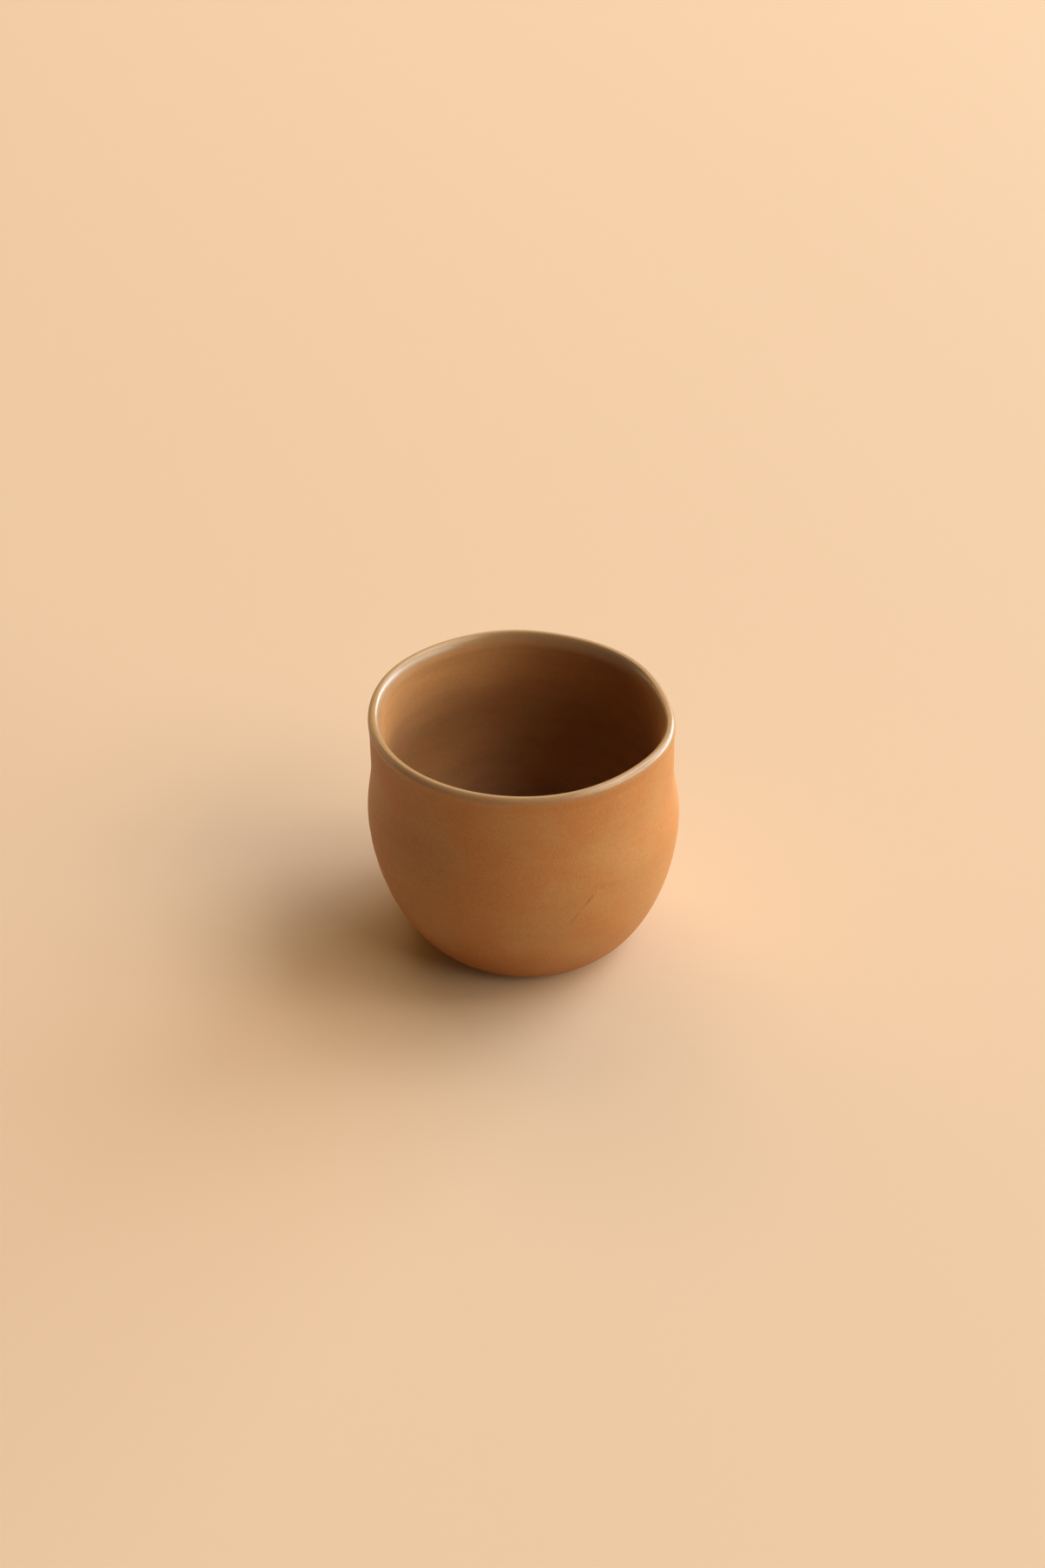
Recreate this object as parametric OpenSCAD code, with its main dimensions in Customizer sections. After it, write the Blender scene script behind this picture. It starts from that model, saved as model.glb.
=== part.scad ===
// Hand-thrown sake cup: bare clay outside, a clear glaze lining inside and a glaze band over the lip.
// The cup stands on z = 0 and is turned about the Z axis. Sizes are in millimetres, angles in degrees.

/* [Clay outside] */
// Height of the clay, from the table to the crown of the lip
body_h = 55.4; // [48:0.1:66]
// Outside diameter of the clay at the lip
rim_d = 64.6; // [56:0.2:72]
// Outside diameter at the waist, under the lip
waist_d = 64.8; // [56:0.2:72]
// Depth of the waist below the crown of the lip
waist_drop = 11.5; // [8:0.5:16]
// Outside diameter at the belly, the widest part
belly_d = 67.6; // [60:0.2:78]
// Height of the belly above the table
belly_z = 31; // [24:0.5:36]

/* [Foot] */
// Outside diameter of the flat ring that the cup stands on
foot_d = 41; // [32:0.5:48]
// Angle above the table at which the wall leaves the foot
foot_angle = 24; // [12:1:45]
// Reach of the foot's angle into the lower wall
foot_sweep = 9; // [5:0.5:14]
// Reach of the belly's upright wall down into the lower wall
belly_sweep = 11.7; // [7:0.1:16]
// Width of the flat standing ring
foot_ring_w = 5.5; // [3:0.5:9]
// Height of the hollow turned under the foot
recess_h = 1.2; // [0.6:0.1:2.4]
// Width of the sloping side of that hollow
recess_slope_w = 2.5; // [1:0.5:5]

/* [Lip] */
// Thickness of the clay at the lip, below its inner slope
lip_t = 2.5; // [2:0.1:3.4]
// Radius of the round from the crown of the lip to its outside
crown_r = 1.15; // [0.6:0.05:1.3]
// Height of the slope from the crown down to the inside wall
lip_slope_h = 3.2; // [2:0.1:3.6]
// Reach of the level crown into that slope
crown_sweep = 0.5; // [0.1:0.05:0.6]
// Reach of the inside wall up into that slope
slope_sweep = 1.5; // [0.6:0.1:2]

/* [Clay thickness] */
// Thickness of the clay at the waist
waist_t = 2.8; // [2:0.1:4.5]
// Thickness of the clay at the belly
belly_t = 3.4; // [2.4:0.1:5]
// Thickness of the clay in the middle of the floor
floor_t = 4.8; // [3:0.1:7]
// Reach of the level floor out from the axis
floor_sweep = 22; // [14:0.5:26]
// Reach of the belly's upright wall down inside
bowl_sweep = 18; // [12:0.5:20]

/* [Glaze] */
// Thickness of the fired glaze
glaze_t = 0.2; // [0.1:0.05:0.6]
// Thickness that the lip's glaze thins out to at its edge outside
glaze_edge_t = 0.08; // [0.04:0.02:0.3]
// Reach of the lip's glaze down the outside, below the crown of the clay
rim_glaze_out = 3; // [2:0.1:6]
// Reach of the lip's glaze down the inside, below the crown of the clay
rim_glaze_in = 4.5; // [4:0.1:12]

/* [Hidden] */

clay_colour = [0.68, 0.45, 0.27];
liner_colour = [0.60, 0.38, 0.21];
rim_colour = [0.66, 0.53, 0.38];

// Segments along each stretch of the section, and round the axis
curve_steps = 24;
band_steps = 8;
slope_steps = 10;
crown_steps = 8;
bead_steps = 5;
$fn = 128;

foot_r = foot_d / 2;
recess_edge_r = foot_r - foot_ring_w;
belly_r = belly_d / 2;
waist_r = waist_d / 2;
rim_r = rim_d / 2;
lip_z = body_h - crown_r;
slope_z = body_h - lip_slope_h;
waist_z = body_h - waist_drop;
floor_z = recess_h + floor_t;
rim_out_z = body_h - rim_glaze_out;
rim_in_z = body_h - rim_glaze_in;

function lerp(a, b, u) = a + (b - a) * u;
// Runs from 0 to 1 with no slope at either end, so stretches that meet are smooth
function ease(u) = (1 - cos(180 * u)) / 2;
function ease_slope(u) = PI / 2 * sin(180 * u);

// Wall above the belly, as a radius at each height: in to the waist, then on to the lip, which starts at z_lip
function wall_r(z, z_lip, r_belly, r_waist, r_lip) = z < waist_z
    ? lerp(r_belly, r_waist, ease((z - belly_z) / (waist_z - belly_z)))
    : lerp(r_waist, r_lip, ease((z - waist_z) / (z_lip - waist_z)));
function wall_slope(z, z_lip, r_belly, r_waist, r_lip) = z < waist_z
    ? (r_waist - r_belly) / (waist_z - belly_z) * ease_slope((z - belly_z) / (waist_z - belly_z))
    : (r_lip - r_waist) / (z_lip - waist_z) * ease_slope((z - waist_z) / (z_lip - waist_z));

function outer_r(z) = wall_r(z, lip_z, belly_r, waist_r, rim_r);
function inner_r(z) = wall_r(z, slope_z, belly_r - belly_t, waist_r - waist_t, rim_r - lip_t);
function inner_slope(z) = wall_slope(z, slope_z, belly_r - belly_t, waist_r - waist_t, rim_r - lip_t);

// Cubic curve through four control points, and its direction
function curve(p, u) = pow(1 - u, 3) * p[0] + 3 * pow(1 - u, 2) * u * p[1]
    + 3 * (1 - u) * pow(u, 2) * p[2] + pow(u, 3) * p[3];
function curve_way(p, u) = 3 * pow(1 - u, 2) * (p[1] - p[0])
    + 6 * (1 - u) * u * (p[2] - p[1]) + 3 * pow(u, 2) * (p[3] - p[2]);

// Turns a direction that climbs the inside of the cup into the normal that faces the drink
function to_drink(way) = [-way.y, way.x] / norm(way);
function reversed(points) = [for (i = [len(points) - 1 : -1 : 0]) points[i]];

lower_wall = [
    [foot_r, 0],
    [foot_r + foot_sweep * cos(foot_angle), foot_sweep * sin(foot_angle)],
    [belly_r, belly_z - belly_sweep],
    [belly_r, belly_z]
];
bowl = [
    [0, floor_z],
    [floor_sweep, floor_z],
    [belly_r - belly_t, belly_z - bowl_sweep],
    [belly_r - belly_t, belly_z]
];
lip_slope = [
    [rim_r - lip_t, slope_z],
    [rim_r - lip_t, slope_z + slope_sweep],
    [rim_r - crown_r - crown_sweep, body_h],
    [rim_r - crown_r, body_h]
];

bowl_u = [for (i = [0 : curve_steps]) i / curve_steps];
inner_wall_z = [for (i = [1 : curve_steps - 1]) lerp(belly_z, rim_in_z, i / curve_steps)];
slope_u = [for (i = [1 : slope_steps]) i / slope_steps];
inner_band_z = [for (i = [0 : band_steps]) lerp(rim_in_z, slope_z, i / band_steps)];
outer_band_z = [for (i = [1 : band_steps]) lerp(lip_z, rim_out_z, i / band_steps)];
outer_wall_z = [for (i = [1 : curve_steps - 1]) lerp(rim_out_z, belly_z, i / curve_steps)];
crown_angles = [for (i = [1 : crown_steps]) 90 - 90 * i / crown_steps];

// Surface of the clay from the floor up the inside wall, over the lip and down the outside wall,
// raised by t where glaze of that thickness lies on it
function raised_curve(p, us, t) = [for (u = us) curve(p, u) + t * to_drink(curve_way(p, u))];
function bowl_points(t = 0) = raised_curve(bowl, bowl_u, t);
function inside_points(heights, t = 0) =
    [for (z = heights) [inner_r(z), z] + t * to_drink([inner_slope(z), 1])];
function crown_points(t) =
    [for (a = crown_angles) [rim_r - crown_r, lip_z] + (crown_r + t) * [cos(a), sin(a)]];
function lip_points(t = 0) = concat(raised_curve(lip_slope, slope_u, t), crown_points(t));
function outside_points(heights) = [for (z = heights) [outer_r(z), z]];

liner_wall_z = concat(inner_wall_z, [rim_in_z]);
liner_back = concat(bowl_points(), inside_points(liner_wall_z));
liner_face = concat(bowl_points(glaze_t), inside_points(liner_wall_z, glaze_t));

// The lip's glaze thins out down the outside and ends in a rounded bead, which meets the clay at rim_out_z
function outer_glaze_t(z) = lerp(glaze_edge_t, glaze_t, ease((z - rim_out_z) / (lip_z - rim_out_z)));
bead_top_z = rim_out_z + glaze_edge_t;
face_band_z = [for (i = [1 : band_steps]) lerp(lip_z, bead_top_z, i / band_steps)];
outer_face = [for (z = face_band_z) [outer_r(z) + outer_glaze_t(z), z]];
bead = [for (i = [1 : bead_steps - 1])
    let (a = 90 * i / bead_steps, z = bead_top_z - glaze_edge_t * sin(a))
    [outer_r(z) + outer_glaze_t(z) * cos(a), z]];
rim_back = concat(inside_points(inner_band_z), lip_points(), outside_points(outer_band_z));
rim_face = concat(inside_points(inner_band_z, glaze_t), lip_points(glaze_t), outer_face, bead);

foot_section = concat(
    [for (i = [0 : curve_steps]) curve(lower_wall, 1 - i / curve_steps)],
    [[recess_edge_r, 0], [recess_edge_r - recess_slope_w, recess_h], [0, recess_h]]);

clay_section = concat(
    bowl_points(), inside_points(inner_wall_z), rim_back, outside_points(outer_wall_z), foot_section);
liner_section = concat(liner_back, reversed(liner_face));
rim_section = concat(rim_back, reversed(rim_face));

// Thrown wall, lip, floor and turned foot: one piece of fired clay
module clay_body() {
    color(clay_colour) rotate_extrude() polygon(clay_section);
}

// Clear glaze poured over the floor and the inside wall
module liner_glaze() {
    color(liner_colour) rotate_extrude() polygon(liner_section);
}

// Glaze that the dipped lip carries, from the lining over the crown to the thin edge outside
module rim_glaze() {
    color(rim_colour) rotate_extrude() polygon(rim_section);
}

clay_body();
liner_glaze();
rim_glaze();
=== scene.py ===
# %% [markdown]
# # A hand-thrown sake cup
# A potter centres a lump of clay on a wheel, opens it, pulls the wall up between two hands, and turns the
# foot when the clay has dried a little. The inside is lined with glaze, the lip is dipped in it once
# more, and the outside stays bare. This lesson dresses the finished solids of that cup. They come from a
# frame that is loaded first, and the main sizes are read from it and never guessed again.

# %% Load the frame and keep its box
import math
from collections import namedtuple

import bmesh
import bpy
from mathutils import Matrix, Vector


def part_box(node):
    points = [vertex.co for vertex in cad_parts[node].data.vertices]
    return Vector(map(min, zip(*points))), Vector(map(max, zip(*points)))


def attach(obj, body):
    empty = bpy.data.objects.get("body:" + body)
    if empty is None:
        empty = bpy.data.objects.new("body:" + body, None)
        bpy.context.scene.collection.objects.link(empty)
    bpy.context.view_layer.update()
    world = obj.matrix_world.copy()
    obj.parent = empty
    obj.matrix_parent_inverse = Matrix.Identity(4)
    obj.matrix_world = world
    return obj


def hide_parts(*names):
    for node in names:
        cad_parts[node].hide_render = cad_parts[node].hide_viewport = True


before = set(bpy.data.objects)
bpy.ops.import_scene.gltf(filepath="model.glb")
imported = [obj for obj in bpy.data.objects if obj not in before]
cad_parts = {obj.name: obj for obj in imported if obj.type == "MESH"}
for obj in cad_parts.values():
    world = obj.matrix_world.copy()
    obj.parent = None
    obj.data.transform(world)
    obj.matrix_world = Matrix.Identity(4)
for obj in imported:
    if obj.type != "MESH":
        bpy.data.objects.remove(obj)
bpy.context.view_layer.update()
print("nodes:", sorted(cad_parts))

# %% [markdown]
# The frame is in metres. Small pottery is easier to think about in millimetres, so the cup's sizes below
# are written as numbers of millimetres. A few main sizes are read from the solids: the height of the cup,
# the radius of its mouth and the radius of its belly.

# %% Main sizes from the solids
MM = 0.001
rim_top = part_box("rim_glaze")[1]
cup_height = rim_top.z
mouth_radius = rim_top.x
belly_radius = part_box("clay_body")[1].x
print(f"cup {cup_height / MM:.1f} mm high, mouth {2 * mouth_radius / MM:.1f} mm across,",
      f"belly {2 * belly_radius / MM:.1f} mm across")

# %% [markdown]
# Node trees hold both the shape and the finish, and their sums are easier to read as ordinary Python. One
# small class wraps a socket, so that `1 - mask * 0.5` adds the Math nodes by itself. Any other node comes
# from `add`, which makes the settings first and then fills or links the sockets. The same class serves
# the wheel that turns the shape and the materials that colour it.

# %% A class for sums of sockets
class Wire:
    """One output socket of a node tree, for use in ordinary sums."""

    def __init__(self, tree, socket=None):
        self.tree = tree
        self.socket = socket

    def add(self, kind, settings=None, sockets=None, out=0):
        """A new node: its settings, then its sockets as values or wires. Gives the output named by out."""
        node = self.tree.nodes.new(kind)
        for name, value in (settings or {}).items():
            setattr(node, name, value)
        for name, value in (sockets or {}).items():
            if isinstance(value, Wire):
                self.tree.links.new(value.socket, node.inputs[name])
            else:
                node.inputs[name].default_value = value
        return Wire(self.tree, node.outputs[out])

    def feed(self, node, name):
        """Links this wire to a socket of a node that is there already."""
        self.tree.links.new(self.socket, node.inputs[name])

    def other(self, name):
        """Another output of the same node."""
        return Wire(self.tree, self.socket.node.outputs[name])

    def math(self, operation, *values):
        """A Math node with this wire first and the other values after it."""
        return self.add("ShaderNodeMath", {"operation": operation}, dict(enumerate((self, *values))))

    def reflected(self, operation, value):
        """A Math node with a value first and this wire after it."""
        return self.add("ShaderNodeMath", {"operation": operation}, {0: value, 1: self})

    def __add__(self, value):
        return self.math("ADD", value)

    def __radd__(self, value):
        return self.reflected("ADD", value)

    def __sub__(self, value):
        return self.math("SUBTRACT", value)

    def __rsub__(self, value):
        return self.reflected("SUBTRACT", value)

    def __mul__(self, value):
        return self.math("MULTIPLY", value)

    def __rmul__(self, value):
        return self.reflected("MULTIPLY", value)

    def __truediv__(self, value):
        return self.math("DIVIDE", value)

    def __rtruediv__(self, value):
        return self.reflected("DIVIDE", value)

    def smooth(self, low, high):
        """0 below low, 1 above high and a soft step between. With low above high, the step falls."""
        return self.add("ShaderNodeMapRange", {"interpolation_type": "SMOOTHSTEP"},
                        {"Value": self, "From Min": low, "From Max": high})

    def split(self):
        """The three numbers of a vector."""
        parts = self.add("ShaderNodeSeparateXYZ", sockets={0: self})
        return parts, parts.other("Y"), parts.other("Z")

    def joined(self, y, z):
        """A vector of this number and two more."""
        return self.add("ShaderNodeCombineXYZ", sockets={0: self, 1: y, 2: z})

    def length(self):
        """The length of a vector."""
        return self.add("ShaderNodeVectorMath", {"operation": "LENGTH"}, {0: self}, "Value")


print("sums of sockets are ready")

# %% [markdown]
# On a wheel, a pot is one outline turned through a full circle. The outline is already in the solids: if
# every point of a turned solid is folded round its axis onto one flat sheet, each ring of points lands on
# a single spot, and the edges between the rings draw the half outline. Reading it this way keeps the
# dressed cup on the solid, and nothing has to be drawn twice.

# %% Fold a turned solid onto a flat sheet
WELD = 0.002 * MM
STRAIGHT_TURN = math.radians(0.05)


def bends(sheet, least, most):
    """Points of an outline at which it turns by an angle in that range."""
    inside = [v for v in sheet.verts if len(v.link_edges) == 2]
    return [v for v in inside if least <= v.calc_edge_angle() < most]


def fold(node):
    """Half outline of a turned solid, as loose edges in the XZ plane."""
    sheet = bmesh.new()
    sheet.from_mesh(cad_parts[node].data)
    sheet.verts.layers.int.new("corner")
    for vert in sheet.verts:
        vert.co = (math.hypot(vert.co.x, vert.co.y), 0, vert.co.z)
    bmesh.ops.remove_doubles(sheet, verts=sheet.verts, dist=WELD)
    # A flat disc has no point on the axis, so its outline is led on to it
    for end in [v for v in sheet.verts if len(v.link_edges) == 1 and v.co.x > WELD]:
        sheet.edges.new((end, sheet.verts.new((0, 0, end.co.z))))
    bmesh.ops.dissolve_verts(sheet, verts=bends(sheet, 0, STRAIGHT_TURN))
    return sheet


print("points closer than", WELD / MM, "mm fold into one")

# %% [markdown]
# A turning tool leaves corners round the foot, and the sponge that goes over the wet clay after it rounds
# them a little. A bevel does the same to the outline. Any corner that is left, such as the edge of a
# glaze, is marked, so that later smoothing leaves it sharp.

# %% Round the foot and mark the corners
CORNER_TURN = math.radians(20)
FOOT_ROUND = 0.7 * MM
ROUND_STEPS = 4


def fold_outline(node, corner_round=0.0):
    """Half outline of a turned solid as a mesh of edges, with its corners rounded or else marked."""
    sheet = fold(node)
    if corner_round:
        bmesh.ops.bevel(sheet, geom=bends(sheet, CORNER_TURN, math.pi), offset=corner_round,
                        offset_type="OFFSET", segments=ROUND_STEPS, profile=0.5, affect="VERTICES")
    corner = sheet.verts.layers.int["corner"]
    corners = bends(sheet, CORNER_TURN, math.pi)
    for vert in corners:
        vert[corner] = 1
    outline = bpy.data.meshes.new(node + "_outline")
    sheet.to_mesh(outline)
    sheet.free()
    print(f"{node}: outline of {len(outline.vertices)} points, {len(corners)} sharp corners")
    return outline


outlines = {
    "clay_body": fold_outline("clay_body", corner_round=FOOT_ROUND),
    "liner_glaze": fold_outline("liner_glaze"),
    "rim_glaze": fold_outline("rim_glaze"),
}

# %% [markdown]
# What tells a thrown cup from a moulded one is the hand in it. Lifted off the wheel while soft, a cup
# goes slightly out of round, and a cut rim is never quite level. A closed ring that is out of round is a
# sum of waves: two waves make it oval, three make it three-sided, and so on. Each wave below has its
# number, its size in millimetres and the angle of its first crest in degrees, with 0 to the right and 90
# to the back.

# %% Waves that the hand leaves
HAND_WAVES = {
    "Foot": [(2, 0.29, 123)],
    "Lip": [(2, 0.24, 137), (3, 0.11, 42), (4, 0.15, 54), (5, 0.07, 41), (6, 0.14, 40), (7, 0.09, 41)],
    "Rim height": [(2, 0.42, 112), (3, 0.16, 92), (4, 0.14, 59)],
}
for part, waves in HAND_WAVES.items():
    print(f"{part}: {len(waves)} waves, {sum(size for _, size, _ in waves):.2f} mm in all")

# %% [markdown]
# The outlines are turned by one Geometry Nodes tree, the wheel. Its controls are named like the things
# that a hand does to wet clay. All three pieces use the same wheel with nearly the same amounts, so the
# glaze stays on the clay wherever the hand has moved it.

# %% The wheel's controls
FLOAT = "NodeSocketFloat"
WHEEL_CONTROLS = {
    "Segments": "NodeSocketInt",
    "Steps": "NodeSocketInt",
    "Closed": "NodeSocketInt",
    "Height": FLOAT,
    "Mouth radius": FLOAT,
    "Foot drift": FLOAT,
    "Lip drift": FLOAT,
    "Lip drift back": FLOAT,
    "Finger pitch": FLOAT,
    "Finger depth": FLOAT,
    "Uneven": FLOAT,
    "Uneven width": FLOAT,
    "Seed": FLOAT,
    "Material": "NodeSocketMaterial",
}
for part, waves in HAND_WAVES.items():
    for count, _, _ in waves:
        WHEEL_CONTROLS[f"{part} {count} waves"] = FLOAT
        WHEEL_CONTROLS[f"{part} {count} waves turn"] = FLOAT
wheel = bpy.data.node_groups.new("throwing_wheel", "GeometryNodeTree")
wheel.interface.new_socket("Geometry", in_out="OUTPUT", socket_type="NodeSocketGeometry")
wheel.interface.new_socket("Geometry", in_out="INPUT", socket_type="NodeSocketGeometry")
for name, kind in WHEEL_CONTROLS.items():
    wheel.interface.new_socket(name, in_out="INPUT", socket_type=kind)
controls = wheel.nodes.new("NodeGroupInput")


def control(name):
    """The wire that comes from one of the wheel's controls."""
    return Wire(wheel, controls.outputs[name])


print("the wheel has", len(WHEEL_CONTROLS), "controls")

# %% [markdown]
# The outline's points were set by the solid, about a millimetre apart, with straight lines between them.
# Shown like that, a wall would look faceted in a low light. Bezier handles that lie along the outline
# make it run smoothly through the same points, and the corners that were marked keep straight handles. A
# flat grid then gets one row for each point of the outline and one column for each step round the axis.

# %% Rows and columns of the thrown wall
nodes = Wire(wheel)
outline = nodes.add("GeometryNodeMeshToCurve", sockets={"Mesh": control("Geometry")})
outline = nodes.add("GeometryNodeCurveSplineType", {"spline_type": "BEZIER"}, {"Curve": outline})
outline = nodes.add("GeometryNodeCurveSetHandles", {"handle_type": "AUTO"}, {"Curve": outline})
is_corner = nodes.add("GeometryNodeInputNamedAttribute", {"data_type": "BOOLEAN"}, {"Name": "corner"})
outline = nodes.add("GeometryNodeCurveSetHandles", {"handle_type": "VECTOR"},
                    {"Curve": outline, "Selection": is_corner})
outline = nodes.add("GeometryNodeSetSplineResolution", sockets={0: outline, "Resolution": control("Steps")})
outline = nodes.add("GeometryNodeResampleCurve", {"mode": "EVALUATED"}, {"Curve": outline})
points = nodes.add("GeometryNodeAttributeDomainSize", {"component": "CURVE"}, {0: outline}, "Point Count")

rows = points + control("Closed")
grid = nodes.add("GeometryNodeMeshGrid", sockets={
    "Size X": 1.0, "Size Y": 1.0, "Vertices X": control("Segments") + 1, "Vertices Y": rows})
place = nodes.add("GeometryNodeInputPosition")
across, along, _ = place.split()
angle = across * math.tau
row = ((along + 0.5) * (rows - 1)).math("ROUND").math("MODULO", points)
on_outline = nodes.add("GeometryNodeSampleIndex", {"data_type": "FLOAT_VECTOR", "domain": "POINT"},
                       {"Geometry": outline, "Value": place, "Index": row})
radius, _, height = on_outline.split()
print("rows follow the outline, columns follow the turn of the wheel")

# %% [markdown]
# The wobble is worked out in the cup's own terms: how far up the wall a point is, how far out, and at
# what angle. Everything scales with the distance from the axis, so the middle of the floor stays a single
# point. Slow noise makes the wall uneven. The fingers add a shallow spiral between two heights, and it
# shows only where the noise says that they pressed harder.

# %% The hand's wobble
FINGERS_COME_IN = (0.12, 0.35)
FINGERS_DIE_OUT = (0.93, 0.8)
FIRM_PRESS = (0.42, 0.68)

up = height / control("Height")
out = radius / control("Mouth radius")


def hand_wave(part):
    """All the waves of one part of the cup, added up at each angle."""
    waves = []
    for count, _, _ in HAND_WAVES[part]:
        name = f"{part} {count} waves"
        waves.append(control(name) * ((angle - control(name + " turn")) * count).math("COSINE"))
    return sum(waves)


hand = hand_wave("Foot") * (1 - up) + hand_wave("Lip") * up * up
turned = (radius * angle.math("COSINE")).joined(radius * angle.math("SINE"), height)
uneven = nodes.add("ShaderNodeTexNoise", {"noise_dimensions": "4D"}, {
    "Vector": turned, "W": control("Seed"), "Scale": 1 / control("Uneven width"), "Detail": 1.0})
hand = hand + control("Uneven") * (uneven - 0.5) * 2
spiral = (height / control("Finger pitch") * math.tau + angle).math("SINE")
finger_reach = up.smooth(*FINGERS_COME_IN) * up.smooth(*FINGERS_DIE_OUT)
hand = hand + control("Finger depth") * spiral * finger_reach * uneven.smooth(*FIRM_PRESS)
thrown_radius = radius + hand * out
print("the wobble takes", len(wheel.nodes), "nodes so far")

# %% [markdown]
# With the radius known, each point of the grid moves to its place. The grid's first and last column then
# lie on each other, and so do all points on the axis. Merging them closes the seam and the poles. The
# place on the plain outline is kept as an attribute, because the finishes need to know how far below the
# crown a point was before the hand moved it.

# %% Move the grid into place and close it
thrown_x = thrown_radius * angle.math("COSINE")
thrown_x = thrown_x + control("Foot drift") * (1 - up) + control("Lip drift") * up
thrown_y = thrown_radius * angle.math("SINE") + control("Lip drift back") * up
thrown_z = (height + hand_wave("Rim height") * up * up * out).math("MAXIMUM", 0.0)

mesh = nodes.add("GeometryNodeStoreNamedAttribute", {"data_type": "FLOAT_VECTOR", "domain": "POINT"},
                 {"Geometry": grid, "Name": "on_outline", "Value": on_outline})
mesh = nodes.add("GeometryNodeSetPosition", sockets={
    "Geometry": mesh, "Position": thrown_x.joined(thrown_y, thrown_z)})
mesh = nodes.add("GeometryNodeMergeByDistance", sockets={"Geometry": mesh, "Distance": WELD / 2})
mesh = nodes.add("GeometryNodeSetShadeSmooth", sockets={"Geometry": mesh})
mesh = nodes.add("GeometryNodeRealizeInstances", sockets={"Geometry": mesh})
mesh = nodes.add("GeometryNodeSetMaterial", sockets={"Geometry": mesh, "Material": control("Material")})
mesh.feed(wheel.nodes.new("NodeGroupOutput"), "Geometry")
print("the wheel's tree has", len(wheel.nodes), "nodes")

# %% [markdown]
# These are this cup's own amounts. The foot sits a little to the right of the axis and the lip a little
# to the left and front, because the cup leaned as it was lifted. Each amount that moves the clay is under
# a millimetre, and the finger pitch is about the width of a fingertip's ridge.

# %% How this cup wobbles
HAND = {
    "Segments": 256,
    "Steps": 2,
    "Height": cup_height,
    "Mouth radius": mouth_radius,
    "Foot drift": 0.45 * MM,
    "Lip drift": -0.48 * MM,
    "Lip drift back": -0.25 * MM,
    "Finger pitch": 5.2 * MM,
    "Uneven": 0.08 * MM,
    "Uneven width": 14 * MM,
    "Seed": 3.0,
}
for part, waves in HAND_WAVES.items():
    for count, size, turn in waves:
        HAND[f"{part} {count} waves"] = size * MM
        HAND[f"{part} {count} waves turn"] = math.radians(turn)
print(len(HAND), "amounts are set for this cup")

# %% [markdown]
# Throwing a piece means hanging the wheel on its outline as a modifier, setting the amounts by the
# sockets' own identifiers, and taking the result as a plain mesh. The blank with its modifier is then
# thrown away. A turned mesh can come out inside out, so its faces are made to point outward before
# anything else is done with it.

# %% Turn an outline on the wheel
def turn_outline(node, amounts):
    """Turns the outline of a node on the wheel, and gives the result as a plain mesh."""
    blank = bpy.data.objects.new(node + "_blank", outlines[node])
    bpy.context.scene.collection.objects.link(blank)
    turning = blank.modifiers.new("wheel", "NODES")
    turning.node_group = wheel
    for item in wheel.interface.items_tree:
        if item.in_out == "INPUT" and item.name in amounts:
            turning[item.identifier] = amounts[item.name]
    graph = bpy.context.evaluated_depsgraph_get()
    shape = bpy.data.meshes.new_from_object(blank.evaluated_get(graph))
    bpy.data.objects.remove(blank)
    return shape


def face_outward(shape):
    """Makes the faces of a mesh point outward, and counts the edges that are still open."""
    skin = bmesh.new()
    skin.from_mesh(shape)
    bmesh.ops.recalc_face_normals(skin, faces=skin.faces)
    open_edges = sum(len(edge.link_faces) != 2 for edge in skin.edges)
    skin.to_mesh(shape)
    skin.free()
    return open_edges


print("ready to turn", len(outlines), "outlines")

# %% [markdown]
# A thrown piece rides on the cup's body, stands for its solid and carries the finish that it is given.
# Its shading is smooth, apart from edges that are as sharp as the end of the lip's glaze.

# %% Throw one piece
SHARP_EDGE = math.radians(40)


def throw(node, material, finger_depth, closed=0):
    """One piece of the cup, thrown from the outline of its node, riding in the frame."""
    amounts = dict(HAND, Closed=closed, Material=material)
    amounts["Finger depth"] = finger_depth
    shape = turn_outline(node, amounts)
    open_edges = face_outward(shape)
    shape.set_sharp_from_angle(angle=SHARP_EDGE)
    piece = bpy.data.objects.new("thrown_" + node, shape)
    bpy.context.scene.collection.objects.link(piece)
    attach(piece, "root")
    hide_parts(node)
    triangles = sum(len(face.vertices) - 2 for face in shape.polygons)
    print(f"{piece.name}: {triangles} triangles, {open_edges} open edges")


print("edges are sharp above", round(math.degrees(SHARP_EDGE)), "degrees")

# %% [markdown]
# Each finish is a shader tree that reads the place of a point on the cup. Noise of a stated size stands
# for what the kiln and the hand leave: cloudy tone a few fingers wide, fine grain, and streaks round the
# wall. An image would stretch on a turned form, and noise in the cup's own space never does.

# %% Helpers for finishes
def new_finish(name):
    """A new material, with a wire for adding nodes and its shader node."""
    finish = bpy.data.materials.new(name)
    finish.use_nodes = True
    return finish, Wire(finish.node_tree), finish.node_tree.nodes["Principled BSDF"]


def mix(factor, first, second):
    """One colour blended into another."""
    return factor.add("ShaderNodeMix", {"data_type": "RGBA"}, {0: factor, 6: first, 7: second}, 2)


def blend(factor, first, second):
    """One number blended into another."""
    return first + (second - first) * factor


def shade(amount, colour):
    """A colour made lighter or darker by an amount."""
    return amount.add("ShaderNodeVectorMath", {"operation": "SCALE"}, {0: colour, "Scale": amount})


def cloud(place, size, detail=2.0):
    """Soft noise round 0.5, with patches of that size."""
    return place.add("ShaderNodeTexNoise", sockets={"Vector": place, "Scale": 1 / size, "Detail": detail})


def bump(height):
    """A surface that stands up by a height in metres."""
    return height.add("ShaderNodeBump", sockets={"Strength": 1.0, "Distance": 1.0, "Height": height})


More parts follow.
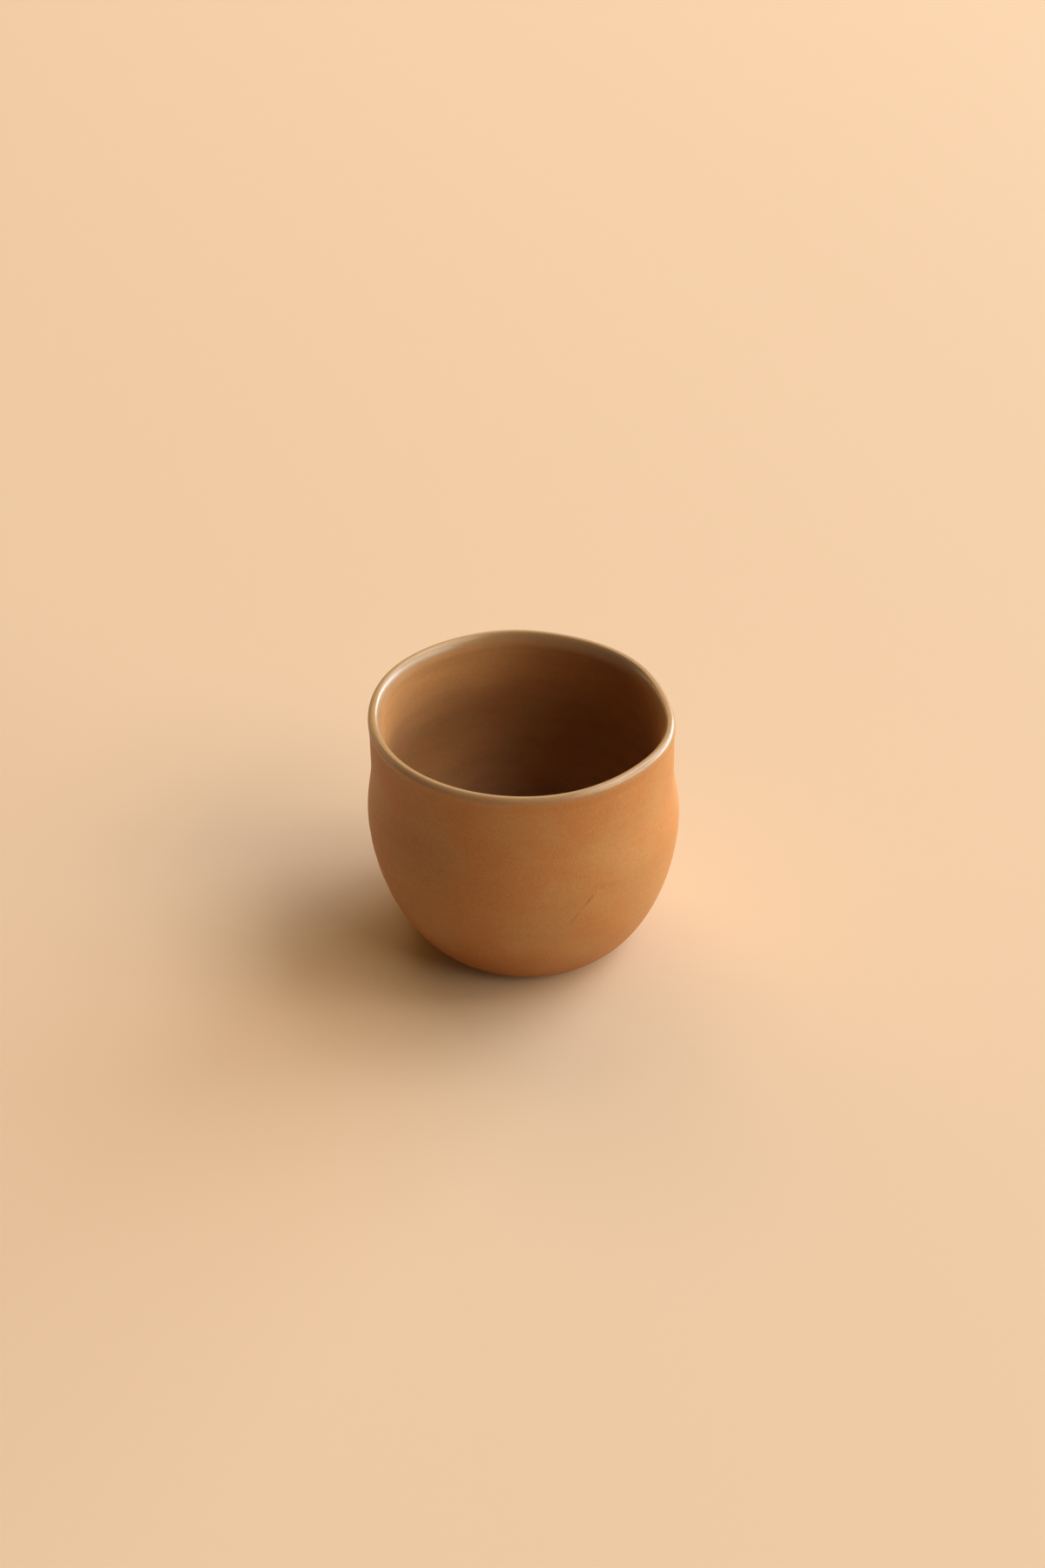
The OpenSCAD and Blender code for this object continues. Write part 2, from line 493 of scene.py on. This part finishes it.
def on_cup(nodes):
    """Place in the cup's frame, with the radius and height that it had on the plain outline."""
    place = nodes.add("ShaderNodeTexCoord", out="Object")
    plain = nodes.add("ShaderNodeAttribute", {"attribute_name": "on_outline"}, out="Vector")
    radius, _, height = plain.split()
    return place, radius, height


print("helpers for finishes are ready")

# %% [markdown]
# The outside is bare fired clay, and close up it is never smooth. There is fine sand in it, coarser grit,
# and faint rings where the turning tool and the sponge went round. Each is a noise of its own size, which
# both shades the clay and stands up from it. The rings follow radius and height together, so that they
# also show under the foot, where the height is the same all over, and they wander a little from a true
# circle.

# %% Clay: grain
Grain = namedtuple("Grain", "size detail shade depth")
SAND = Grain(size=0.35 * MM, detail=1.0, shade=0.45, depth=0.022 * MM)
GRIT = Grain(size=1.1 * MM, detail=2.0, shade=0.14, depth=0.03 * MM)
RINGS = Grain(size=1.2 * MM, detail=2.0, shade=0.1, depth=0.016 * MM)
RING_WANDER = 0.06


def clay_grain(place, radius, height):
    """How light the grain makes the clay, the sand alone, and the height of the surface."""
    wander = place.add("ShaderNodeVectorMath", {"operation": "SCALE"}, {0: place, "Scale": RING_WANDER})
    ring_place = place.add("ShaderNodeVectorMath", {"operation": "ADD"},
                           {0: wander, 1: radius.joined(height, 0.0)})
    sand = cloud(place, SAND.size, SAND.detail)
    grit = cloud(place, GRIT.size, GRIT.detail)
    rings = cloud(ring_place, RINGS.size, RINGS.detail)
    light = 1 + (sand - 0.5) * SAND.shade + (grit - 0.5) * GRIT.shade + (rings - 0.5) * RINGS.shade
    relief = sand * SAND.depth + grit * GRIT.depth + rings * RINGS.depth
    return light, sand, relief


for layer in (SAND, GRIT, RINGS):
    print(f"grain of {layer.size / MM:.2f} mm stands up by {layer.depth / MM:.3f} mm")

# %% [markdown]
# The clay's colour drifts between a redder and a more golden brown, as the flame and the ash went round
# it. Toward the foot it is painted darker and redder as painted shade under the belly, and the same noise
# that drifts the colour keeps that change from following a level line. Sand at the surface makes it
# slightly rougher.

# %% Clay: colour and roughness
CLAY_RED = (0.442, 0.184, 0.056, 1)
CLAY_GOLD = (0.442, 0.213, 0.072, 1)
CLAY_FOOT_SHADE = (0.37, 0.125, 0.025, 1)
TONE_SIZE = 15 * MM
TONE_RANGE = (0.36, 0.64)
FOOT_SHADE_HEIGHTS = (20 * MM, 3 * MM)
FOOT_SHADE_WANDER = 14 * MM
FOOT_SHADE_SHARE = 0.8
CLAY_ROUGHNESS = 0.52
SAND_ROUGHNESS = 0.12


def clay_colour(place, height, light):
    """Colour of the bare clay, as light as its grain makes it, with painted shade toward the foot."""
    tone = cloud(place, TONE_SIZE, 3.0)
    # Painted shade: darker and redder toward the foot, where the wall turns in under the belly
    foot_shade = (height + (tone - 0.5) * FOOT_SHADE_WANDER).smooth(*FOOT_SHADE_HEIGHTS)
    drift = mix(tone.smooth(*TONE_RANGE), CLAY_RED, CLAY_GOLD)
    return shade(light, mix(foot_shade * FOOT_SHADE_SHARE, drift, CLAY_FOOT_SHADE))


def clay_roughness(sand):
    """Roughness of the bare clay, more where the sand stands up."""
    return sand * SAND_ROUGHNESS + CLAY_ROUGHNESS


print("clay goes from", CLAY_RED[:3], "to", CLAY_GOLD[:3])

# %% [markdown]
# Specks are grains that fired darker or paler than the clay round them. Voronoi cells are a cheap way to
# scatter them: each cell has one point, and the cell's own random colour says whether there is a grain at
# that point.

# %% Specks in the clay
def specks(place, spacing, size, share):
    """Round grains of about that size, at a share of the points of a loose grid."""
    cell = place.add("ShaderNodeTexVoronoi", sockets={"Vector": place, "Scale": 1 / spacing})
    chance, reach, _ = cell.other("Color").split()
    near = (cell * spacing).smooth(reach * size, 0.0)
    return near * chance.math("LESS_THAN", share)


DARK_SPECKS = {"spacing": 2.4 * MM, "size": 0.42 * MM, "share": 0.3}
PALE_SPECKS = {"spacing": 1.9 * MM, "size": 0.5 * MM, "share": 0.22}
print("dark specks", DARK_SPECKS, "pale specks", PALE_SPECKS)

# %% [markdown]
# This cup has one small mishap on its front: a nail caught the soft clay and left a short crease, with a
# faint tool line running off to the right and a slightly paler patch below. A mark like that is a
# distance from a straight line on the unrolled wall, and its ends are given as an angle in degrees and a
# height in millimetres.

# %% Places of the marks on the wall
def on_wall(angle, height):
    """A place on the unrolled wall, from an angle in degrees and a height in millimetres."""
    return math.radians(angle) * belly_radius, height * MM


def round_belly(place):
    """The way round the unrolled wall to a place, in metres."""
    x, y, _ = place.split()
    return y.math("ARCTAN2", x) * belly_radius


def from_line(way, height, start, end):
    """Distance from a straight mark on the unrolled wall, distance to its right, and share of its length."""
    run_x, run_y = end[0] - start[0], end[1] - start[1]
    span = math.hypot(run_x, run_y)
    x, y = way - start[0], height - start[1]
    share = ((x * run_x + y * run_y) / span ** 2).math("MAXIMUM", 0.0).math("MINIMUM", 1.0)
    distance = (x - share * run_x).joined(y - share * run_y, 0.0).length()
    return distance, (y * run_x - x * run_y) / span, share


CREASE = (on_wall(-65.9, 30.0), on_wall(-71.9, 25.3))
TOOL_LINE = (on_wall(-65.9, 32.4), on_wall(-51.3, 31.0))
PATCH = (on_wall(-62, 28), on_wall(-50, 20))
print(f"crease {math.dist(*CREASE) / MM:.1f} mm long, tool line {math.dist(*TOOL_LINE) / MM:.1f} mm")

# %% [markdown]
# A mark's edge is soft: it fades between two distances from its line. Noise breaks the crease and the
# tool line into dashes, so that they do not look ruled, and the crease grows faint toward its lower end.
# On its right side the nail pushed up a low lip of clay, which the low light picks out.

# %% Marks on the wall
CREASE_EDGE = (0.5 * MM, 0.1 * MM)
CREASE_GAPS = (0.36, 0.55)
CREASE_FADE = 0.7
PUSHED_EDGE = (2.2 * MM, 0.2 * MM)
PUSHED_SIDE = (-0.2 * MM, 0.4 * MM)
TOOL_EDGE = (0.7 * MM, 0.1 * MM)
TOOL_GAPS = (0.4, 0.6)
PATCH_EDGE = (6 * MM, 1 * MM)
DASH_SIZE = 1.6 * MM


def clay_marks(place, height):
    """How strong the crease, the clay it pushed up, the tool line and the pale patch are at a place."""
    way = round_belly(place)
    dashes = cloud(place, DASH_SIZE, 1.0)
    from_crease, right_of_crease, down_crease = from_line(way, height, *CREASE)
    from_tool_line, _, _ = from_line(way, height, *TOOL_LINE)
    from_patch, _, _ = from_line(way, height, *PATCH)
    crease = from_crease.smooth(*CREASE_EDGE) * dashes.smooth(*CREASE_GAPS) * (1 - down_crease * CREASE_FADE)
    pushed_up = from_crease.smooth(*PUSHED_EDGE) * right_of_crease.smooth(*PUSHED_SIDE)
    tool_line = from_tool_line.smooth(*TOOL_EDGE) * dashes.smooth(*TOOL_GAPS)
    return crease, pushed_up, tool_line, from_patch.smooth(*PATCH_EDGE)


print("marks fade over", CREASE_EDGE[0] / MM, "to", PATCH_EDGE[0] / MM, "mm")

# %% [markdown]
# Now the clay's finish is put together. Specks and marks only change how light the clay is, so they
# multiply its colour, and pale specks show most in the pale patch. The crease also cuts into the surface,
# and its darkening is painted shade in the groove. Bare clay has hardly any shine, so its specular level is
# low.

# %% Clay: the finish
DARK_SPECK_SHADE = 0.14
PALE_SPECK_SHADE = 0.18
PALE_ELSEWHERE = 0.25
PATCH_SHADE = 0.03
CREASE_PAINTED_SHADE = 0.2
TOOL_SHADE = 0.06
CREASE_DEPTH = 0.05 * MM
PUSHED_HEIGHT = 0.07 * MM

bare_clay, nodes, shader = new_finish("bare_clay")
place, radius, height = on_cup(nodes)
grain_light, sand, relief = clay_grain(place, radius, height)
crease, pushed_up, tool_line, patch = clay_marks(place, height)
pale = specks(place, **PALE_SPECKS) * (PALE_ELSEWHERE + patch)
light = 1 - specks(place, **DARK_SPECKS) * DARK_SPECK_SHADE + pale * PALE_SPECK_SHADE + patch * PATCH_SHADE
# The crease's darkening is painted shade in its groove; the groove itself is the bump below
light = light - crease * CREASE_PAINTED_SHADE - tool_line * TOOL_SHADE
shade(light, clay_colour(place, height, grain_light)).feed(shader, "Base Color")
clay_roughness(sand).feed(shader, "Roughness")
bump(relief + pushed_up * PUSHED_HEIGHT - crease * CREASE_DEPTH).feed(shader, "Normal")
shader.inputs["Specular IOR Level"].default_value = 0.4
print("bare clay has", len(bare_clay.node_tree.nodes), "nodes")

# %% [markdown]
# The inside is lined with a thin clear glaze. It lets the clay show through, in cloudy brown and olive
# patches. Lower down inside the cup the colour is painted darker, and darkest at the bottom of the bowl:
# this is painted shade. Faint streaks run round the wall, because the cup was turned while the glaze ran.
# They are noise on a place that is squeezed sideways, which draws each patch out into a streak.

# %% Liner glaze: colour
LINER_UPPER = (0.41, 0.2, 0.08, 1)
LINER_DEEP = (0.325, 0.166, 0.082, 1)
LINER_OLIVE = (0.305, 0.172, 0.082, 1)
LINER_BOTTOM_SHADE = (0.15, 0.083, 0.045, 1)
LINER_TONE_SIZE = 9 * MM
OLIVE_RANGE = (0.45, 0.65)
DEEP_HEIGHTS = (52 * MM, 34 * MM)
DEEP_WANDER = 9 * MM
BOTTOM_SHADE_HEIGHTS = (20 * MM, 9 * MM)
BOTTOM_SHADE_WANDER = 6 * MM
STREAK_SQUEEZE = (0.22, 0.22, 1.0)
STREAK_SIZE = 2.4 * MM
STREAK_SHADE = 0.24
SPECKLE_SIZE = 0.5 * MM
SPECKLE_SHADE = 0.25


def liner_colour(place, height):
    """Colour of the lining, with painted shade that darkens it lower down and most at the bottom."""
    tone = cloud(place, LINER_TONE_SIZE, 3.0)
    # Painted shade: darker below the top of the wall, and darkest at the bottom of the bowl
    deep = (height + (tone - 0.5) * DEEP_WANDER).smooth(*DEEP_HEIGHTS)
    patchy = mix(tone.smooth(*OLIVE_RANGE), LINER_DEEP, LINER_OLIVE)
    bottom_shade = (height + (tone - 0.5) * BOTTOM_SHADE_WANDER).smooth(*BOTTOM_SHADE_HEIGHTS)
    speckle = cloud(place, SPECKLE_SIZE, 1.0)
    squeezed = place.add("ShaderNodeVectorMath", {"operation": "MULTIPLY"}, {0: place, 1: STREAK_SQUEEZE})
    streak = cloud(squeezed, STREAK_SIZE)
    light = 1 + (speckle - 0.5) * SPECKLE_SHADE + (streak - 0.5) * STREAK_SHADE
    return shade(light, mix(bottom_shade, mix(deep, LINER_UPPER, patchy), LINER_BOTTOM_SHADE))


print("the lining pools below", BOTTOM_SHADE_HEIGHTS[0] / MM, "mm")

# %% [markdown]
# A thin pour over rough clay is only half shiny, so the lining gets a middle roughness that varies, a low
# specular level, and a faint orange-peel relief from the clay under it.

# %% Liner glaze: the finish
LINER_ROUGHNESS = 0.42
GLOSS_SIZE = 5 * MM
GLOSS_CHANGE = 0.12
PEEL_SIZE = 1.4 * MM
PEEL_DEPTH = 0.02 * MM


def liner_roughness(place):
    """Roughness of the lining, which changes in patches."""
    return cloud(place, GLOSS_SIZE) * GLOSS_CHANGE + LINER_ROUGHNESS


liner, nodes, shader = new_finish("liner_glaze")
place, _, height = on_cup(nodes)
liner_colour(place, height).feed(shader, "Base Color")
liner_roughness(place).feed(shader, "Roughness")
bump(cloud(place, PEEL_SIZE) * PEEL_DEPTH).feed(shader, "Normal")
shader.inputs["Specular IOR Level"].default_value = 0.15
print("liner glaze has", len(liner.node_tree.nodes), "nodes")

# %% [markdown]
# The lip was dipped once more, so its coat is thicker, greyer and shinier on the crown. Down the outside
# it thins out within about three millimetres and the clay takes over. Down the inside it runs into the
# lining. Both fades are measured as the drop below the crown, with a little noise, because a dipped edge
# is never ruled. The shine lasts longer on the way down than the colour does.

# %% Rim glaze: where the dip ends
CROWN_INSET = 1.35 * MM
CROWN_HALF = 0.7 * MM
DIP_SIZE = 4 * MM
DIP_WANDER = 1.2 * MM
THIN_OUTSIDE = (0.2 * MM, 1.9 * MM)
THIN_INSIDE = (0.4 * MM, 3.0 * MM)
DULL_OUTSIDE = (0.5 * MM, 2.3 * MM)
DULL_INSIDE = (1.9 * MM, 4.2 * MM)

rim, nodes, shader = new_finish("rim_glaze")
place, radius, height = on_cup(nodes)
inside = (mouth_radius - CROWN_INSET - radius).smooth(-CROWN_HALF, CROWN_HALF)
drop = cup_height - height + (cloud(place, DIP_SIZE) - 0.5) * DIP_WANDER
thin = blend(inside, drop.smooth(*THIN_OUTSIDE), drop.smooth(*THIN_INSIDE))
dull = blend(inside, drop.smooth(*DULL_OUTSIDE), drop.smooth(*DULL_INSIDE))
print("the dip thins out by", THIN_OUTSIDE[1] / MM, "mm outside and", THIN_INSIDE[1] / MM, "mm inside")

# %% [markdown]
# Where the dip is thick, its own khaki shows, slightly mottled. Where it is thin, the clay or the lining
# under it shows, and outside the clay's grain comes through as well. The base is as rough as what lies
# under it, and the shine is a clear coat on top, whose weight falls to nothing where the dip ends. A slow
# ripple keeps the highlight from looking machined.

# %% Rim glaze: the finish
RIM_KHAKI = (0.285, 0.155, 0.057, 1)
MOTTLE_SIZE = 1.3 * MM
MOTTLE_SHADE = 0.16
COAT_WEIGHT = 0.72
RIPPLE_SIZE = 2.2 * MM
RIPPLE_DEPTH = 0.02 * MM

grain_light, sand, relief = clay_grain(place, radius, height)
under = mix(inside, clay_colour(place, height, grain_light), liner_colour(place, height))
mottle = 1 + (cloud(place, MOTTLE_SIZE) - 0.5) * (1 - thin) * MOTTLE_SHADE
shade(mottle, mix(thin, RIM_KHAKI, under)).feed(shader, "Base Color")
blend(inside, clay_roughness(sand), liner_roughness(place)).feed(shader, "Roughness")
((1 - dull) * COAT_WEIGHT).feed(shader, "Coat Weight")
bump(relief * thin * (1 - inside) + cloud(place, RIPPLE_SIZE) * RIPPLE_DEPTH).feed(shader, "Normal")
shader.inputs["Specular IOR Level"].default_value = 0.35
shader.inputs["Coat Roughness"].default_value = 0.25
shader.inputs["Coat IOR"].default_value = 1.6
print("rim glaze has", len(rim.node_tree.nodes), "nodes")

# %% [markdown]
# With the finishes ready, the three pieces go on the wheel. The outline of the lip's glaze is a closed
# loop, so its last row joins its first. The fingers mark the clay and the lining, and the dipped lip is
# left smooth.

# %% Throw the three pieces
throw("clay_body", bare_clay, finger_depth=0.02 * MM)
throw("liner_glaze", liner, finger_depth=0.05 * MM)
throw("rim_glaze", rim, finger_depth=0.0, closed=1)

# %% [markdown]
# The cup stands on a plain pale floor of a warm tan. It is part of the stage and not of the cup, so it
# needs no detail, but its colour matters: it throws a warm light up under the belly. Light that sinks
# into a tan surface comes out again more orange. A very faint glow stands for that, and only the camera
# and reflections see it, so it lights nothing.

# %% Floor
FLOOR_HALF = 3.0
FLOOR_TAN = (0.587, 0.448, 0.333, 1)
FLOOR_GLOW = (1.0, 0.4, 0.1)


def seen_directly(nodes):
    """1 for the camera and for reflections, and 0 for light on its way to a matt surface."""
    path = nodes.add("ShaderNodeLightPath", out="Is Camera Ray")
    return (path + path.other("Is Glossy Ray") + path.other("Is Transmission Ray")).math("MINIMUM", 1.0)


floor_mesh = bpy.data.meshes.new("floor")
floor_corners = [(x * FLOOR_HALF, y * FLOOR_HALF, 0) for x, y in ((-1, -1), (1, -1), (1, 1), (-1, 1))]
floor_mesh.from_pydata(floor_corners, [], [(0, 1, 2, 3)])
pale_floor, nodes, shader = new_finish("pale_floor")
shader.inputs["Base Color"].default_value = FLOOR_TAN
shader.inputs["Roughness"].default_value = 0.8
shader.inputs["Specular IOR Level"].default_value = 0.2
shade(seen_directly(nodes), FLOOR_GLOW).feed(shader, "Emission Color")
shader.inputs["Emission Strength"].default_value = 0.025
floor_mesh.materials.append(pale_floor)
floor = bpy.data.objects.new("floor", floor_mesh)
bpy.context.scene.collection.objects.link(floor)
print("floor", 2 * FLOOR_HALF, "m wide")

# %% [markdown]
# The light is that of a room with a wide window on the right. Soft panels stand for it in three rows,
# low, middle and high, and those toward the back are the coolest. Behind the cup, the ceiling and a wall
# return a warmer light, and a weak one from behind on the left draws a thin edge of light on the shaded
# side. Hardly anything else comes from the left, which leaves the right half of the inside in shade. Each
# panel has its angle round the cup and its angle above the floor in degrees, its sides in metres, its
# level and its colour. The level is how bright a white sheet that faces the panel would look.

# %% Light
PANEL_DISTANCE = 6.0
PANELS = {
    "window_front": (-14, 16, (5.2, 1.8), 0.44, (0.92, 1.00, 0.90)),
    "window_back": (36, 14, (5.2, 1.8), 0.88, (0.90, 0.97, 1.00)),
    "window_front_middle": (-25, 39, (4.6, 2.1), 0.49, (1.00, 0.76, 0.46)),
    "window_back_middle": (38, 38, (4.0, 2.0), 0.27, (0.86, 0.96, 1.00)),
    "window_high": (14, 58, (4.0, 2.4), 0.52, (1.00, 0.95, 0.90)),
    "ceiling_behind": (95, 55, (4.8, 3.6), 0.33, (1.00, 0.85, 0.62)),
    "wall_behind": (112, 28, (4.8, 3.2), 0.22, (1.00, 0.55, 0.10)),
    "wall_left": (150, 8, (4.4, 1.4), 0.09, (1.00, 0.62, 0.30)),
}


def soft_panel(name, azimuth, elevation, size, level, colour):
    """A rectangle of soft light that faces the cup, at angles in degrees and with sides in metres."""
    lamp = bpy.data.lights.new(name, "AREA")
    lamp.shape = "RECTANGLE"
    lamp.size, lamp.size_y = size
    lamp.energy = level * (math.pi * PANEL_DISTANCE) ** 2
    lamp.color = colour
    holder = bpy.data.objects.new(name, lamp)
    turn, rise = math.radians(azimuth), math.radians(elevation)
    toward = Vector((math.cos(turn) * math.cos(rise), math.sin(turn) * math.cos(rise), math.sin(rise)))
    holder.location = toward * PANEL_DISTANCE
    holder.rotation_mode = "QUATERNION"
    holder.rotation_quaternion = toward.to_track_quat("Z", "Y")
    bpy.context.scene.collection.objects.link(holder)
    print(f"{name}: level {level}")


for name, panel in PANELS.items():
    soft_panel(name, *panel)

# %% [markdown]
# The world is the pale room beyond the floor. Only the camera and the reflections see it, so it adds no
# light of its own to matt surfaces, and the floor keeps the cup's shadow. The Standard view shows colours
# as the light makes them, without a film's curve.

# %% World
ROOM_COLOUR = (0.9, 0.76, 0.58, 1)
ROOM_LEVEL = 0.5

world = bpy.data.worlds.new("room")
world.use_nodes = True
background = world.node_tree.nodes["Background"]
background.inputs["Color"].default_value = ROOM_COLOUR
(seen_directly(Wire(world.node_tree)) * ROOM_LEVEL).feed(background, "Strength")
bpy.context.scene.world = world
bpy.context.scene.view_settings.view_transform = "Standard"
print("view transform:", bpy.context.scene.view_settings.view_transform)

# %% [markdown]
# The camera stands in front of the cup and looks down into it at about 36 degrees, with a normal lens.
# Its distance and the point that it looks at were fitted to the outline of the cup.

# %% Camera
CAMERA_RISE = math.radians(35.72)
CAMERA_DISTANCE = 469.3 * MM
LOOK_AT = Vector((-0.27, 0, 36.26)) * MM
camera = bpy.data.objects.new("camera", bpy.data.cameras.new("camera"))
camera.data.lens = 50
camera.data.sensor_width = 36
camera.data.clip_start = 0.01
camera.location = LOOK_AT + CAMERA_DISTANCE * Vector((0, -math.cos(CAMERA_RISE), math.sin(CAMERA_RISE)))
camera.rotation_euler = (math.pi / 2 - CAMERA_RISE, 0, 0)
bpy.context.scene.collection.objects.link(camera)
bpy.context.scene.camera = camera
print("camera at", [round(c / MM) for c in camera.location], "mm")
